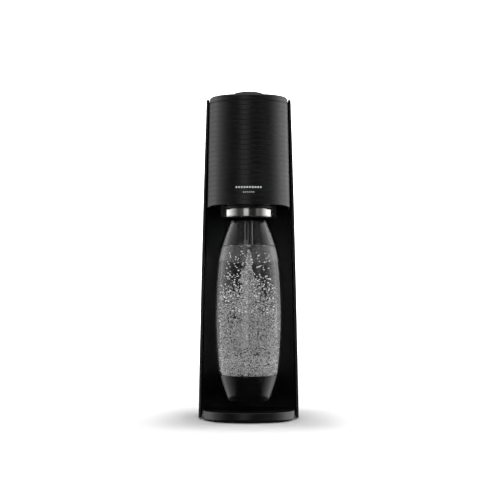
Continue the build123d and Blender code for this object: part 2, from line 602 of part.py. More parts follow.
def neck_solid(r_neck, inset):
    """Shoulder, flange and mouth of the bottle above its outline."""
    shoulder_r, shoulder_z = BOTTLE_OUTLINE[-1]
    points = [(0, shoulder_z - 0.01), (shoulder_r - inset, shoulder_z - 0.01), (20.6 - inset, 266.2)]
    if inset == 0:
        points += [(16.0, FLANGE_LOW_Z - 1), (NECK_R, FLANGE_LOW_Z), (FLANGE_R, FLANGE_Z),
                   (FLANGE_R, FLANGE_Z + 2.6), (NECK_R, FLANGE_Z + 5)]
    else:
        points += [(r_neck, FLANGE_LOW_Z)]
    points += [(r_neck, BOTTLE_MOUTH_Z), (0, BOTTLE_MOUTH_Z)]
    return lathe(BOTTLE_Y, points)


def bottle_body():
    """Clear bottle with an open mouth; its foot sits inside the cup."""
    above = box(-60, 60, BOTTLE_Y - 60, BOTTLE_Y + 60, CUP_TOP_Z, 300)
    below = box(-60, 60, BOTTLE_Y - 60, BOTTLE_Y + 60, 0, CUP_TOP_Z)
    upper = (bottle_outline_solid(0) & above) + neck_solid(NECK_R, 0)
    lower = bottle_outline_solid(CUP_WALL) & below
    cavity = (bottle_outline_solid(1.7) & above) + (bottle_outline_solid(CUP_WALL + 1.7) & below)
    return upper + lower - cavity - neck_solid(MOUTH_R, 1.7) - post(0, BOTTLE_Y, 262, 300, MOUTH_R)


def bottle_base_cup():
    """Black cup that covers the bottle's foot, flush with the bottle's side."""
    below = box(-60, 60, BOTTLE_Y - 60, BOTTLE_Y + 60, 0, CUP_TOP_Z - 0.05)
    return (bottle_outline_solid(0) & below) - bottle_outline_solid(CUP_WALL)


def cyl_z(height):
    """Height above the worktop of a place measured up from the gas cylinder's foot."""
    return CYL_FLOOR_Z + height


def cylinder_shell():
    """Hollow aluminium gas cylinder with a round shoulder and a neck."""
    r = CYL_R - LABEL_WALL
    shoulder_z = cyl_z(277)
    neck_z = shoulder_z + math.sqrt(r * r - CYL_NECK_R ** 2)
    half_way = (r * math.cos(math.pi / 6), shoulder_z + r * math.sin(math.pi / 6))
    side = Polyline((0, cyl_z(0)), (r, cyl_z(0)), (r, shoulder_z))
    shoulder = ThreePointArc((r, shoulder_z), half_way, (CYL_NECK_R, neck_z))
    neck = Polyline((CYL_NECK_R, neck_z), (CYL_NECK_R, cyl_z(308.6)), (0, cyl_z(308.6)), (0, cyl_z(0)))
    outer = make_face(side + shoulder + neck)
    bottle = Pos(0, CYLINDER_Y, 0) * revolve(Plane.XZ * outer, Axis.Z)
    inner = lathe(CYLINDER_Y, [(0, cyl_z(CYL_WALL)), (r - CYL_WALL, cyl_z(CYL_WALL)), (r - CYL_WALL, cyl_z(276)),
                               (21, cyl_z(293)), (9.0, cyl_z(297)), (9.0, cyl_z(320)), (0, cyl_z(320))])
    bottle = bottle - inner
    ring_seat = post(0, CYLINDER_Y, cyl_z(-1), cyl_z(10), 40) - post(0, CYLINDER_Y, cyl_z(-2), cyl_z(12), r - 1.2)
    return bottle - ring_seat


def cylinder_label():
    """Printed sleeve round the gas cylinder."""
    outer = post(0, CYLINDER_Y, cyl_z(10), cyl_z(240), CYL_R)
    return outer - post(0, CYLINDER_Y, cyl_z(5), cyl_z(250), CYL_R - LABEL_WALL)


def cylinder_base_ring():
    """Pale plastic ring round the cylinder's foot."""
    ring = post(0, CYLINDER_Y, cyl_z(0), cyl_z(9.95), CYL_R)
    ring = fillet(ring.edges().group_by(Axis.Z)[0], 1.5)
    return ring - post(0, CYLINDER_Y, cyl_z(-2), cyl_z(12), CYL_R - LABEL_WALL - 1.2)


def valve_adaptor():
    """Coloured quick-fit adaptor on the cylinder's neck, with two lugs."""
    body = lathe(CYLINDER_Y, [(9.0, cyl_z(308.6)), (14.6, cyl_z(308.6)), (14.6, cyl_z(325.6)),
                              (13.5, cyl_z(327)), (13.5, cyl_z(341)), (12.5, cyl_z(342)),
                              (10.0, cyl_z(342.4)), (10.0, cyl_z(346)), (8.6, cyl_z(346)),
                              (8.6, cyl_z(348.8)), (10.0, cyl_z(348.8)), (10.0, cyl_z(357)),
                              (9.0, CYL_TOP_Z), (3.1, CYL_TOP_Z), (3.1, cyl_z(344)), (9.0, cyl_z(344))])
    lugs = both_sides(box(12, 19, CYLINDER_Y - 4, CYLINDER_Y + 4, cyl_z(324), cyl_z(330)))
    return body + fillet(lugs.edges().filter_by(Axis.Y), 1.2)


def adaptor_ring():
    """White ring in the adaptor's groove."""
    ring = post(0, CYLINDER_Y, cyl_z(346.05), cyl_z(348.75), 10.3)
    return ring - post(0, CYLINDER_Y, cyl_z(340), cyl_z(350), 8.62)


def cylinder_valve():
    """Brass valve body screwed into the cylinder's neck."""
    body = post(0, CYLINDER_Y, cyl_z(292), cyl_z(343.9), 8.9)
    body = body - post(0, CYLINDER_Y, cyl_z(298), cyl_z(330), 5.0)
    return body - post(0, CYLINDER_Y, cyl_z(320), cyl_z(360), 3.1)


def valve_pin():
    """Valve pin with a head that keeps it in the valve."""
    pin = post(0, CYLINDER_Y, cyl_z(327), CYL_TOP_Z - PIN_GAP, 3.02)
    return pin + post(0, CYLINDER_Y, cyl_z(326.9), cyl_z(329.9), 4.9)


def valve_spring():
    """Spring that closes the cylinder's valve."""
    return coil_spring(0, CYLINDER_Y, cyl_z(298), cyl_z(326.9), 4.0, 0.9, 9)


def latch_spring():
    """Return spring under the cover's latch button."""
    return coil_spring(0, LATCH_Y, LATCH_FLOOR_Z, LATCH_FLOOR_Z + 6, 2.6, 0.6, 4)


def all_parts():
    """Every sub-part by name."""
    parts = {
        "base_pan": base_pan(), "bottom_plate": bottom_plate(), "base_screws": base_screws(),
        "left_side_shell": side_shell(-1), "right_side_shell": side_shell(1),
        "bottle_bay_liner": bottle_bay_liner(), "inner_frame": inner_frame(),
        "head_drum": head_drum(), "top_cover": top_cover(), "head_bottom_ring": head_bottom_ring(),
        "head_deck": head_deck(), "deck_screws": deck_screws(), "snap_lock_yoke": snap_lock_yoke(),
        "button_guide": button_guide(), "button_spring": button_spring(),
        "carbonating_button": carbonating_button(), "button_stem": button_stem(),
        "rocker_lever": rocker_lever(), "rocker_pin": rocker_pin(), "push_pin": push_pin(),
        "valve_block": valve_block(), "lock_lever_pins": lock_lever_pins(), "lock_lever": lock_lever(),
        "coupling_piston": coupling_piston(), "coupling_seal": coupling_seal(),
        "gas_hose": gas_hose(), "hose_swivel": hose_swivel(),
        "snap_lock_housing": snap_lock_housing(), "snap_lock_pins": snap_lock_pins(),
        "trim_band": trim_band(), "nozzle_manifold": nozzle_manifold(), "relief_valve": relief_valve(),
        "mouth_seal": mouth_seal(), "nozzle_sleeve": nozzle_sleeve(), "nozzle_tip": nozzle_tip(),
        "left_gripper_jaw": gripper_jaw(-1), "right_gripper_jaw": gripper_jaw(1),
        "bottle_body": bottle_body(), "bottle_base_cup": bottle_base_cup(),
        "cylinder_cradle": cylinder_cradle(), "cylinder_saddle": cylinder_saddle(),
        "cylinder_shell": cylinder_shell(), "cylinder_label": cylinder_label(),
        "cylinder_base_ring": cylinder_base_ring(), "cylinder_valve": cylinder_valve(),
        "valve_adaptor": valve_adaptor(), "adaptor_ring": adaptor_ring(),
        "valve_pin": valve_pin(), "valve_spring": valve_spring(),
        "rear_cover": rear_cover(), "cover_latch_button": latch_button(), "latch_spring": latch_spring(),
    }
    for name, (x, y) in FOOT_PLACES.items():
        parts[name] = foot(x, y)
    return parts


def main():
    """Write one file per sub-part."""
    os.makedirs("parts", exist_ok=True)
    for name, solid in all_parts().items():
        export_step(solid, f"parts/{name}.step")


main()
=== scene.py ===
import json
import math

import bpy
import numpy as np
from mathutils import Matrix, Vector


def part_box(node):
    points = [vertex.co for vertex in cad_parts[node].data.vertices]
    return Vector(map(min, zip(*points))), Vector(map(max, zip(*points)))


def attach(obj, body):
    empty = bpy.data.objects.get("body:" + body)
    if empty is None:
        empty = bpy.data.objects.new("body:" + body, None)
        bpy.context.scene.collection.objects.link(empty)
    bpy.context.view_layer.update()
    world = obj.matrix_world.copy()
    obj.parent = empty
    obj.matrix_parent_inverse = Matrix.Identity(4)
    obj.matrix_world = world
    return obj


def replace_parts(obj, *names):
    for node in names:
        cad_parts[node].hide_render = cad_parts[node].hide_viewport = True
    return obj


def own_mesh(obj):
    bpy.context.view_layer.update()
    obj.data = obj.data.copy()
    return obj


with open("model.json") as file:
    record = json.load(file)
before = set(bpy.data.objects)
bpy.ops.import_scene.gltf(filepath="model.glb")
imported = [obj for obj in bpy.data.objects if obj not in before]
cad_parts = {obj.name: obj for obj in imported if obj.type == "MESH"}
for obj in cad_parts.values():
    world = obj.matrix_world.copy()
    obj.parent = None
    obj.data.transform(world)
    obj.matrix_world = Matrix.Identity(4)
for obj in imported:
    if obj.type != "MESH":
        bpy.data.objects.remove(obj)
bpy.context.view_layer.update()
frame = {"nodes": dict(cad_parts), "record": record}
NODES = frame["nodes"]
MM = 0.001

# Places and sizes read from the frame, in metres
BOTTLE_LOW, BOTTLE_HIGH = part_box("bottle_body")
BAND_LOW, BAND_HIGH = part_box("trim_band")
BUTTON_LOW, BUTTON_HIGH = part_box("carbonating_button")
LABEL_LOW, LABEL_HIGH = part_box("cylinder_label")
TIP_LOW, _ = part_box("nozzle_tip")
BOTTLE_Y = (BOTTLE_LOW.y + BOTTLE_HIGH.y) / 2
CYLINDER_Y = (LABEL_LOW.y + LABEL_HIGH.y) / 2


# ---------------------------------------------------------------- shading tools

def linear(hex_text):
    """An sRGB hex colour as linear red, green, blue and alpha."""
    parts = [int(hex_text[i:i + 2], 16) / 255 for i in (1, 3, 5)]
    return tuple(p / 12.92 if p <= 0.04045 else ((p + 0.055) / 1.055) ** 2.4 for p in parts) + (1.0,)


def add(tree, kind, links=None, **settings):
    """Adds one shader node. settings are its properties; links gives each named input a value or a socket."""
    made = tree.nodes.new("ShaderNode" + kind)
    for key, value in settings.items():
        setattr(made, key, value)
    for key, value in (links or {}).items():
        if isinstance(value, bpy.types.NodeSocket):
            tree.links.new(value, made.inputs[key])
        else:
            made.inputs[key].default_value = value
    return made


def new_material(name, colour, roughness, **sockets):
    """A material with one Principled shader; returns it, its tree, its shader and its object coordinates."""
    made = bpy.data.materials.new(name)
    made.use_nodes = True
    tree = made.node_tree
    tree.nodes.clear()
    shader = add(tree, "BsdfPrincipled", {"Base Color": linear(colour), "Roughness": roughness})
    for key, value in sockets.items():
        shader.inputs[key.replace("_", " ")].default_value = value
    add(tree, "OutputMaterial", {"Surface": shader.outputs[0]})
    place = add(tree, "TexCoord").outputs["Object"]
    return made, tree, shader, place


def per_metre(millimetres):
    """The texture scale that gives a pattern this real size."""
    return 1.0 / (millimetres * MM)


def mottle(tree, place, size_mm, low, high):
    """A noise of a real size, mapped to a range of values."""
    noise = add(tree, "TexNoise", {"Vector": place, "Scale": per_metre(size_mm), "Detail": 3.0})
    return add(tree, "MapRange", {"Value": noise.outputs["Fac"], "From Min": 0.3, "From Max": 0.7,
                                  "To Min": low, "To Max": high}).outputs[0]


def grain_bump(tree, place, size_mm, depth_mm, strength):
    """Fine surface grain as a bump normal."""
    noise = add(tree, "TexNoise", {"Vector": place, "Scale": per_metre(size_mm), "Detail": 2.0})
    return add(tree, "Bump", {"Height": noise.outputs["Fac"], "Distance": depth_mm * MM,
                              "Strength": strength}).outputs[0]


def tinted(tree, place, size_mm, colour_a, colour_b):
    """A slow drift between two near colours, as moulded and printed surfaces have."""
    share = mottle(tree, place, size_mm, 0.0, 1.0)
    return blend_colours(tree, share, linear(colour_a), linear(colour_b))


def blend_colours(tree, share, first, second):
    """The first colour where share is 0 and the second where it is 1; each is a value or a socket."""
    return add(tree, "Mix", {0: share, 6: first, 7: second}, data_type="RGBA").outputs[2]


def sums(tree, operation, first, second=0.0):
    """One Math node on two values or sockets."""
    return add(tree, "Math", {0: first, 1: second}, operation=operation).outputs[0]


def within(tree, value, centre, reach):
    """1 where the value lies closer to the centre than the reach, and 0 elsewhere."""
    apart = sums(tree, "ABSOLUTE", sums(tree, "SUBTRACT", value, centre))
    return sums(tree, "LESS_THAN", apart, reach)


# ---------------------------------------------------------------- finishes

def moulded_abs(name, dark, light, roughness, grain_mm=0.9):
    """ABS moulded in a spark-eroded tool: satin, with a fine even grain that softens its highlights.
    The real grain is about 0.3 mm and is drawn coarser so that it shows."""
    made, tree, shader, place = new_material(name, dark, roughness)
    tree.links.new(tinted(tree, place, 45, dark, light), shader.inputs["Base Color"])
    tree.links.new(mottle(tree, place, 18, roughness - 0.035, roughness + 0.035), shader.inputs["Roughness"])
    tree.links.new(grain_bump(tree, place, grain_mm, 0.02, 0.5), shader.inputs["Normal"])
    return made


def polished_abs(name, dark, light, roughness):
    """ABS from a polished tool: near-mirror black with a faint slow ripple and light handling haze."""
    made, tree, shader, place = new_material(name, dark, roughness)
    tree.links.new(tinted(tree, place, 60, dark, light), shader.inputs["Base Color"])
    tree.links.new(mottle(tree, place, 9, roughness * 0.7, roughness * 1.4), shader.inputs["Roughness"])
    tree.links.new(grain_bump(tree, place, 14, 0.03, 0.25), shader.inputs["Normal"])
    return made


def nozzle_plastic(name):
    """Hard glossy acetal of the nozzle, with a broad sheen down its lit side."""
    made, tree, shader, place = new_material(name, "#111214", 0.24, Coat_Weight=1.0, Coat_Roughness=0.18,
                                             Specular_IOR_Level=1.0)
    tree.links.new(tinted(tree, place, 30, "#0e0f10", "#17181a"), shader.inputs["Base Color"])
    tree.links.new(grain_bump(tree, place, 5, 0.01, 0.2), shader.inputs["Normal"])
    return made


def turned_metal(name, dark, light, roughness, line_mm):
    """Metal brushed or turned round an upright axis: fine level lines that vary in tone and gloss."""
    made, tree, shader, place = new_material(name, light, roughness, Metallic=1.0, Anisotropic=0.5)
    fine = per_metre(line_mm)
    lines_at = add(tree, "Mapping", {"Vector": place, "Scale": (fine / 60, fine / 60, fine)}).outputs[0]
    lines = add(tree, "TexNoise", {"Vector": lines_at, "Scale": 1.0, "Detail": 2.0}).outputs["Fac"]
    tone = add(tree, "MapRange", {"Value": lines, "From Min": 0.25, "From Max": 0.75}).outputs[0]
    tree.links.new(blend_colours(tree, tone, linear(dark), linear(light)), shader.inputs["Base Color"])
    gloss = add(tree, "MapRange", {"Value": lines, "From Min": 0.2, "From Max": 0.8,
                                   "To Min": roughness + 0.07, "To Max": roughness - 0.05}).outputs[0]
    tree.links.new(gloss, shader.inputs["Roughness"])
    bump = add(tree, "Bump", {"Height": lines, "Distance": 0.02 * MM, "Strength": 0.35}).outputs[0]
    tree.links.new(bump, shader.inputs["Normal"])
    return made


def moulded_rubber(name, dark, light):
    """Moulded rubber: matt, slightly dusty, with a fine grain."""
    made, tree, shader, place = new_material(name, dark, 0.8)
    tree.links.new(tinted(tree, place, 8, dark, light), shader.inputs["Base Color"])
    tree.links.new(grain_bump(tree, place, 0.7, 0.04, 0.6), shader.inputs["Normal"])
    return made


def coloured_plastic(name, dark, light, roughness):
    """Polypropylene moulding or ink: satin, faintly translucent at its edges."""
    made, tree, shader, place = new_material(name, light, roughness, Subsurface_Weight=0.04,
                                             Subsurface_Scale=0.002)
    tree.links.new(tinted(tree, place, 7, dark, light), shader.inputs["Base Color"])
    tree.links.new(grain_bump(tree, place, 0.8, 0.02, 0.4), shader.inputs["Normal"])
    return made


def clear_copolyester(name):
    """Blow-moulded copolyester: clear, with a slight waviness from the mould."""
    made, tree, shader, place = new_material(name, "#fbfbfb", 0.02, Transmission_Weight=1.0, IOR=1.45)
    tree.links.new(grain_bump(tree, place, 22, 0.05, 0.12), shader.inputs["Normal"])
    tree.links.new(mottle(tree, place, 12, 0.0, 0.012), shader.inputs["Roughness"])
    return made


def still_water(name):
    """Water, IOR 1.33, with a gently uneven surface."""
    made, tree, shader, place = new_material(name, "#fafafa", 0.0, Transmission_Weight=1.0, IOR=1.33)
    tree.links.new(grain_bump(tree, place, 9, 0.06, 0.1), shader.inputs["Normal"])
    tree.links.new(mottle(tree, place, 15, 0.0, 0.01), shader.inputs["Roughness"])
    return made


def gas_bubble(name, dark, light, mirror, roughness, size_mm, painted_glow):
    """Gas bubble in water: its skin mirrors what is beside it, as total reflection makes it do, over a
    share of scattered light. Lit and shaded bubbles are painted as light and dark patches of the given size,
    and a painted glow in the same colours stands for light passed on from bubble to bubble."""
    made, tree, shader, place = new_material(name, light, roughness, Metallic=mirror, Emission_Strength=painted_glow)
    colour = tinted(tree, place, size_mm, dark, light)
    tree.links.new(colour, shader.inputs["Base Color"])
    tree.links.new(colour, shader.inputs["Emission Color"])
    tree.links.new(mottle(tree, place, 3, roughness * 0.7, roughness * 1.3), shader.inputs["Roughness"])
    return made


LABEL_ROUND_MM = math.pi * (LABEL_HIGH.x - LABEL_LOW.x) / MM
LABEL_TALL_MM = (LABEL_HIGH.z - LABEL_LOW.z) / MM
STRIPE_MM, STRIPE_HALF_MM = 202.5, 3.6
WAVE_MM, WAVE_SWING_MM = 48.0, 5.0
RINGS_TOP_MM = 100.0


def printed_label(name):
    """Printed film on the gas cylinder: a strong ground, a pale band, a wave at its foot and round bubbles.
    u runs round the cylinder from its front and v up it, both in millimetres on the piece's own map."""
    made, tree, shader, place = new_material(name, "#e6127f", 0.28, Coat_Weight=0.4)
    around = add(tree, "UVMap", uv_map="sleeve").outputs[0]
    at_mm = add(tree, "Mapping", {"Vector": around, "Scale": (LABEL_ROUND_MM, LABEL_TALL_MM, 1.0)}).outputs[0]
    split = add(tree, "SeparateXYZ", {0: at_mm})
    u, v = split.outputs[0], split.outputs[1]
    swing = sums(tree, "SINE", sums(tree, "MULTIPLY", u, 0.08))
    wave = sums(tree, "ADD", sums(tree, "MULTIPLY", swing, WAVE_SWING_MM), WAVE_MM)
    foot = tinted(tree, place, 25, "#0e8fd0", "#2aa8e2")
    ground = tinted(tree, place, 40, "#d40e78", "#e8168a")
    art = blend_colours(tree, sums(tree, "GREATER_THAN", v, wave), foot, ground)
    art = blend_colours(tree, within(tree, v, STRIPE_MM, STRIPE_HALF_MM), art, linear("#2fb2e4"))
    cells = add(tree, "TexVoronoi", {"Vector": at_mm, "Scale": 0.09, "Randomness": 0.85},
                voronoi_dimensions="2D").outputs["Distance"]
    rings = sums(tree, "MULTIPLY", within(tree, cells, 0.22, 0.035), sums(tree, "LESS_THAN", v, RINGS_TOP_MM))
    art = blend_colours(tree, rings, art, linear("#f3f6f8"))
    tree.links.new(art, shader.inputs["Base Color"])
    tree.links.new(grain_bump(tree, place, 6, 0.02, 0.2), shader.inputs["Normal"])
    return made


FINISHES = {
    "shell_plastic": moulded_abs("satin_black_abs", "#0a0a0b", "#111111", 0.31),
    "gloss_black": polished_abs("polished_black_abs", "#060606", "#0b0b0b", 0.14),
    "collar_black": moulded_abs("matt_black_nylon", "#0c0c0d", "#121213", 0.42),
    "inner_plastic": moulded_abs("grey_abs", "#222326", "#2c2d30", 0.5),
    "rubber": moulded_rubber("black_rubber", "#121212", "#1c1c1b"),
    "brushed_band": turned_metal("brushed_stainless_steel", "#d4d3d0", "#f4f3f1", 0.13, 0.5),
    "steel": turned_metal("drawn_steel_wire", "#85878a", "#b4b6b8", 0.30, 0.8),
    "aluminium": turned_metal("turned_aluminium", "#a6a8aa", "#cfd0d1", 0.34, 0.7),
    "brass": turned_metal("turned_brass", "#a8803f", "#cfa75f", 0.28, 0.6),
    "label": printed_label("printed_film"),
    "pink_plastic": coloured_plastic("pink_polypropylene", "#d30f78", "#ea1b8d", 0.32),
    "pale_plastic": coloured_plastic("pale_polypropylene", "#dfe2e3", "#f1f3f3", 0.35),
    "clear_bottle": clear_copolyester("clear_copolyester"),
}
LINER_PLASTIC = moulded_abs("matt_black_liner_abs", "#070707", "#0c0c0c", 0.5)
PRINTING_INK = coloured_plastic("pale_pad_printing_ink", "#b4b5b6", "#cfd0d1", 0.45)
NOZZLE_PLASTIC = nozzle_plastic("black_acetal")
SPECIAL_FINISHES = {"bottle_bay_liner": LINER_PLASTIC, "head_bottom_ring": LINER_PLASTIC,
                    "nozzle_sleeve": NOZZLE_PLASTIC, "nozzle_tip": NOZZLE_PLASTIC}


def dress_cad_nodes():
    """Each CAD node gets the finish of its material slot, or its own where it is duller or glossier."""
    for part in frame["record"]["subparts"]:
        mesh = NODES[part["node"]].data
        mesh.materials.clear()
        mesh.materials.append(SPECIAL_FINISHES.get(part["node"], FINISHES[part["material_slot"]]))


# ---------------------------------------------------------------- surfaces

POLE_MM = 0.25  # turned pieces start this far from their axis, and a fan closes the rest


def mesh_object(name, corners, faces, finish, smooth=True):
    """A mesh object of these corners and faces, in one finish."""
    mesh = bpy.data.meshes.new(name)
    mesh.from_pydata(corners.tolist(), [], faces)
    mesh.validate()
    if smooth:
        mesh.shade_smooth()
    mesh.materials.append(finish)
    made = bpy.data.objects.new(name, mesh)
    bpy.context.scene.collection.objects.link(made)
    return made


def grid_mesh(name, points, finish, body, round_rows=False):
    """A closed surface from a grid of points: columns run round it and close on themselves. Rows run from
    its start to its end, and close too if round_rows is set; otherwise each end is capped by a fan."""
    rows, cols, _ = points.shape
    index = np.arange(rows * cols).reshape(rows, cols)
    last = rows if round_rows else rows - 1
    low = index[:last]
    high = np.roll(index, -1, axis=0)[:last]
    quads = np.stack([low, np.roll(low, -1, 1), np.roll(high, -1, 1), high], axis=-1).reshape(-1, 4)
    corners = points.reshape(-1, 3)
    faces = quads.tolist()
    if not round_rows:
        ends = np.stack([points[0].mean(0), points[-1].mean(0)])
        foot, top = len(corners), len(corners) + 1
        corners = np.vstack([corners, ends])
        faces += [[foot, int(b), int(a)] for a, b in zip(index[0], np.roll(index[0], -1))]
        faces += [[top, int(a), int(b)] for a, b in zip(index[-1], np.roll(index[-1], -1))]
    piece = mesh_object(name, corners, faces, finish)
    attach(piece, body)
    return piece


def rounded(corners, steps=6):
    """A profile through (radius, height, fillet) corners in millimetres, each fillet drawn as an arc."""
    points = np.array([c[:2] for c in corners], float)
    fillets = np.array([c[2] if len(c) > 2 else 0.0 for c in corners], float)
    path = [points[0]]
    for before, here, after, fillet in zip(points, points[1:], points[2:], fillets[1:]):
        if fillet == 0:
            path.append(here)
            continue
        to_before = (before - here) / np.linalg.norm(before - here)
        to_after = (after - here) / np.linalg.norm(after - here)
        half = math.acos(np.clip(to_before @ to_after, -1, 1)) / 2
        start = here + to_before * fillet / math.tan(half)
        end = here + to_after * fillet / math.tan(half)
        inward = (to_before + to_after) / np.linalg.norm(to_before + to_after)
        centre = here + inward * fillet / math.sin(half)
        turn = np.linspace(0, 1, steps)[:, None]
        chord = start + (end - start) * turn - centre
        path.extend(centre + chord / np.linalg.norm(chord, axis=1)[:, None] * fillet)
    path.append(points[-1])
    return np.array(path)


def lathe(profile_mm, centre_y, steps=128):
    """The profile's (radius, height) points turned about an upright axis: x = r sin t,
    y = centre - r cos t."""
    turn = np.linspace(0, 2 * math.pi, steps, endpoint=False)
    radius = profile_mm[:, 0][:, None] * MM
    height = np.repeat(profile_mm[:, 1][:, None] * MM, steps, axis=1)
    return np.stack([radius * np.sin(turn), centre_y - radius * np.cos(turn), height], axis=-1)


# ---------------------------------------------------------------- head

DRUM_FRONT_MM, DRUM_SIDE_MM = 279.5, 277.7  # height of the lower rim in front and at the sides
DRUM_FOOT_R_MM, DRUM_TOP_R_MM, DRUM_TOP_MM = 53.7, 50.8, 420.0
DRUM_WALL_MM = 2.5
SIDE_ROWS, FRONT_ROWS = 8, 121
SEAM_MM, GROOVE_PITCH_MM, GROOVES = 412.7, 6.37, 20


def smooth_step(low, high, at):
    """0 below low, 1 above high and a smooth rise between them."""
    share = np.clip((at - low) / (high - low), 0, 1)
    return share * share * (3 - 2 * share)


def drum_radius(z_mm):
    """Outer radius of the tapered drum at a height."""
    share = (z_mm - DRUM_FRONT_MM) / (DRUM_TOP_MM - DRUM_FRONT_MM)
    return DRUM_FOOT_R_MM + (DRUM_TOP_R_MM - DRUM_FOOT_R_MM) * share


def groove_rows(z_mm):
    """One rounded groove at a height, as height and depth pairs with plain wall on each side."""
    offsets = np.array([-1.15, -0.62, -0.45, -0.22, 0.0, 0.22, 0.45, 0.62, 1.15])
    depths = np.array([0.0, 0.0, 0.07, 0.36, 0.46, 0.36, 0.07, 0.0, 0.0])
    return np.stack([z_mm + offsets, depths], axis=-1)


def drum_piece():
    """Ribbed shell of the head: one wall section carried along a U of two straight sides and a half round
    front. x = r cos a, y = centre - r sin a on the front; the lower rim is 1.8 mm higher there."""
    foot = np.array([(278.0, 0.0), (278.9, 0.0)])
    grooves = [groove_rows(SEAM_MM - k * GROOVE_PITCH_MM) for k in range(GROOVES, 0, -1)]
    rows = np.vstack([foot] + grooves + [np.array([(411.6, 0.0), (412.1, 0.03), (412.6, 0.5)])])
    outer = np.stack([drum_radius(rows[:, 0]) - rows[:, 1], rows[:, 0]], -1)
    foot_r = float(drum_radius(DRUM_SIDE_MM))
    rim = rounded([(foot_r - DRUM_WALL_MM, 283.0), (foot_r - DRUM_WALL_MM, DRUM_SIDE_MM, 0.4),
                   (foot_r, DRUM_SIDE_MM, 0.5), (foot_r, 278.9)], 4)
    inner = np.array([(drum_radius(z) - DRUM_WALL_MM, z) for z in (412.6, 350.0)])
    section = np.vstack([rim[:-1], outer[1:], inner])
    side_y = np.linspace(9.9, BOTTLE_Y / MM, SIDE_ROWS + 1)[:-1]
    turn = np.linspace(0, math.pi, FRONT_ROWS)
    ray = np.vstack([np.tile([1.0, 0.0], (SIDE_ROWS, 1)), np.stack([np.cos(turn), -np.sin(turn)], -1),
                     np.tile([-1.0, 0.0], (SIDE_ROWS, 1))])
    start_y = np.r_[side_y, np.full(FRONT_ROWS, BOTTLE_Y / MM), side_y[::-1]]
    x = ray[:, :1] * section[:, 0]
    y = start_y[:, None] + ray[:, 1:] * section[:, 0]
    rim_z = DRUM_SIDE_MM + (DRUM_FRONT_MM - DRUM_SIDE_MM) * smooth_step(38, 66, -y.min(axis=1))[:, None]
    low = np.clip((284.4 - section[:, 1]) / (284.4 - DRUM_SIDE_MM), 0, 1)
    z = section[:, 1] + (rim_z - DRUM_SIDE_MM) * low
    points = np.stack([x, y, z], -1) * MM
    piece = grid_mesh("head_ribbed_drum", points, FINISHES["shell_plastic"], "housing")
    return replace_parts(piece, "head_drum")


def button_piece():
    """Push button: a low dome on a straight skirt, hollow below, with softly broken edges."""
    top, skirt = BUTTON_HIGH.z / MM, BUTTON_LOW.z / MM
    r = np.linspace(POLE_MM, 17.2, 14)
    crown = np.stack([r, top - 2.27 * (r / 17.2) ** 2], -1)
    bend = np.radians(np.linspace(16, 90, 14))
    shoulder = np.stack([16.0 + 5.0 * np.sin(bend), top - 7.1 + 5.0 * np.cos(bend)], -1)
    below = rounded([(21.0, top - 7.2), (21.0, skirt, 0.4), (19.0, skirt, 0.4), (19.0, top - 7.9, 1.5),
                     (15.0, top - 3.4, 2.0), (POLE_MM, top - 3.4)])
    profile = np.vstack([crown, shoulder, below[1:]])[::-1]
    points = lathe(profile, BOTTLE_Y)
    piece = grid_mesh("button_dome", points, FINISHES["gloss_black"], "button")
    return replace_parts(piece, "carbonating_button")


def band_piece():
    """Brushed band round the front of the collar: a plain face, a fine lower lip and rolled edges."""
    low, high = BAND_LOW.z / MM, BAND_HIGH.z / MM
    section = rounded([(31.2, low), (30.62, low), (30.62, high), (32.0, high, 0.35), (32.0, low + 1.25, 0.1),
                       (32.3, low + 0.95, 0.15), (32.3, low, 0.25), (31.2, low)], 5)[1:-1]
    turn = np.radians(np.linspace(6, 174, 113))[:, None]
    points = np.stack([section[:, 0] * np.cos(turn), BOTTLE_Y / MM - section[:, 0] * np.sin(turn),
                       np.broadcast_to(section[:, 1], (113, len(section)))], -1) * MM
    piece = grid_mesh("collar_band", points[:, ::-1], FINISHES["brushed_band"], "snap_lock")
    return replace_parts(piece, "trim_band")


def printed_dots(name, z_mm, width_mm, count, radius_mm):
    """A level row of low round dots of printing ink that follows the drum: each is three rings closed by flat
    ends, and lies at the angle (distance along the row / drum radius) from the front."""
    along = np.linspace(-width_mm / 2, width_mm / 2, count)
    turn = np.linspace(0, 2 * math.pi, 14, endpoint=False)
    rings = np.array([(0.8, 0.05), (1.0, 0.0), (1.0, -0.15)])
    across = along[:, None, None] + rings[:, :1] * radius_mm * np.cos(turn)
    up = np.broadcast_to(z_mm + rings[:, :1] * radius_mm * np.sin(turn), across.shape)
    r = drum_radius(up) + rings[:, 1][:, None]
    angle = across / drum_radius(z_mm)
    corners = np.stack([r * np.sin(angle), BOTTLE_Y / MM - r * np.cos(angle), up], -1) * MM
    index = np.arange(len(rings) * 14).reshape(len(rings), 14)
    sides = np.stack([index[:-1], index[1:], np.roll(index[1:], -1, 1), np.roll(index[:-1], -1, 1)], -1)
    dot = sides.reshape(-1, 4).tolist() + [index[0].tolist(), index[-1][::-1].tolist()]
    faces = [[corner + k * index.size for corner in face] for k in range(count) for face in dot]
    piece = mesh_object(name, corners.reshape(-1, 3), faces, PRINTING_INK, smooth=False)
    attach(piece, "housing")
    return piece


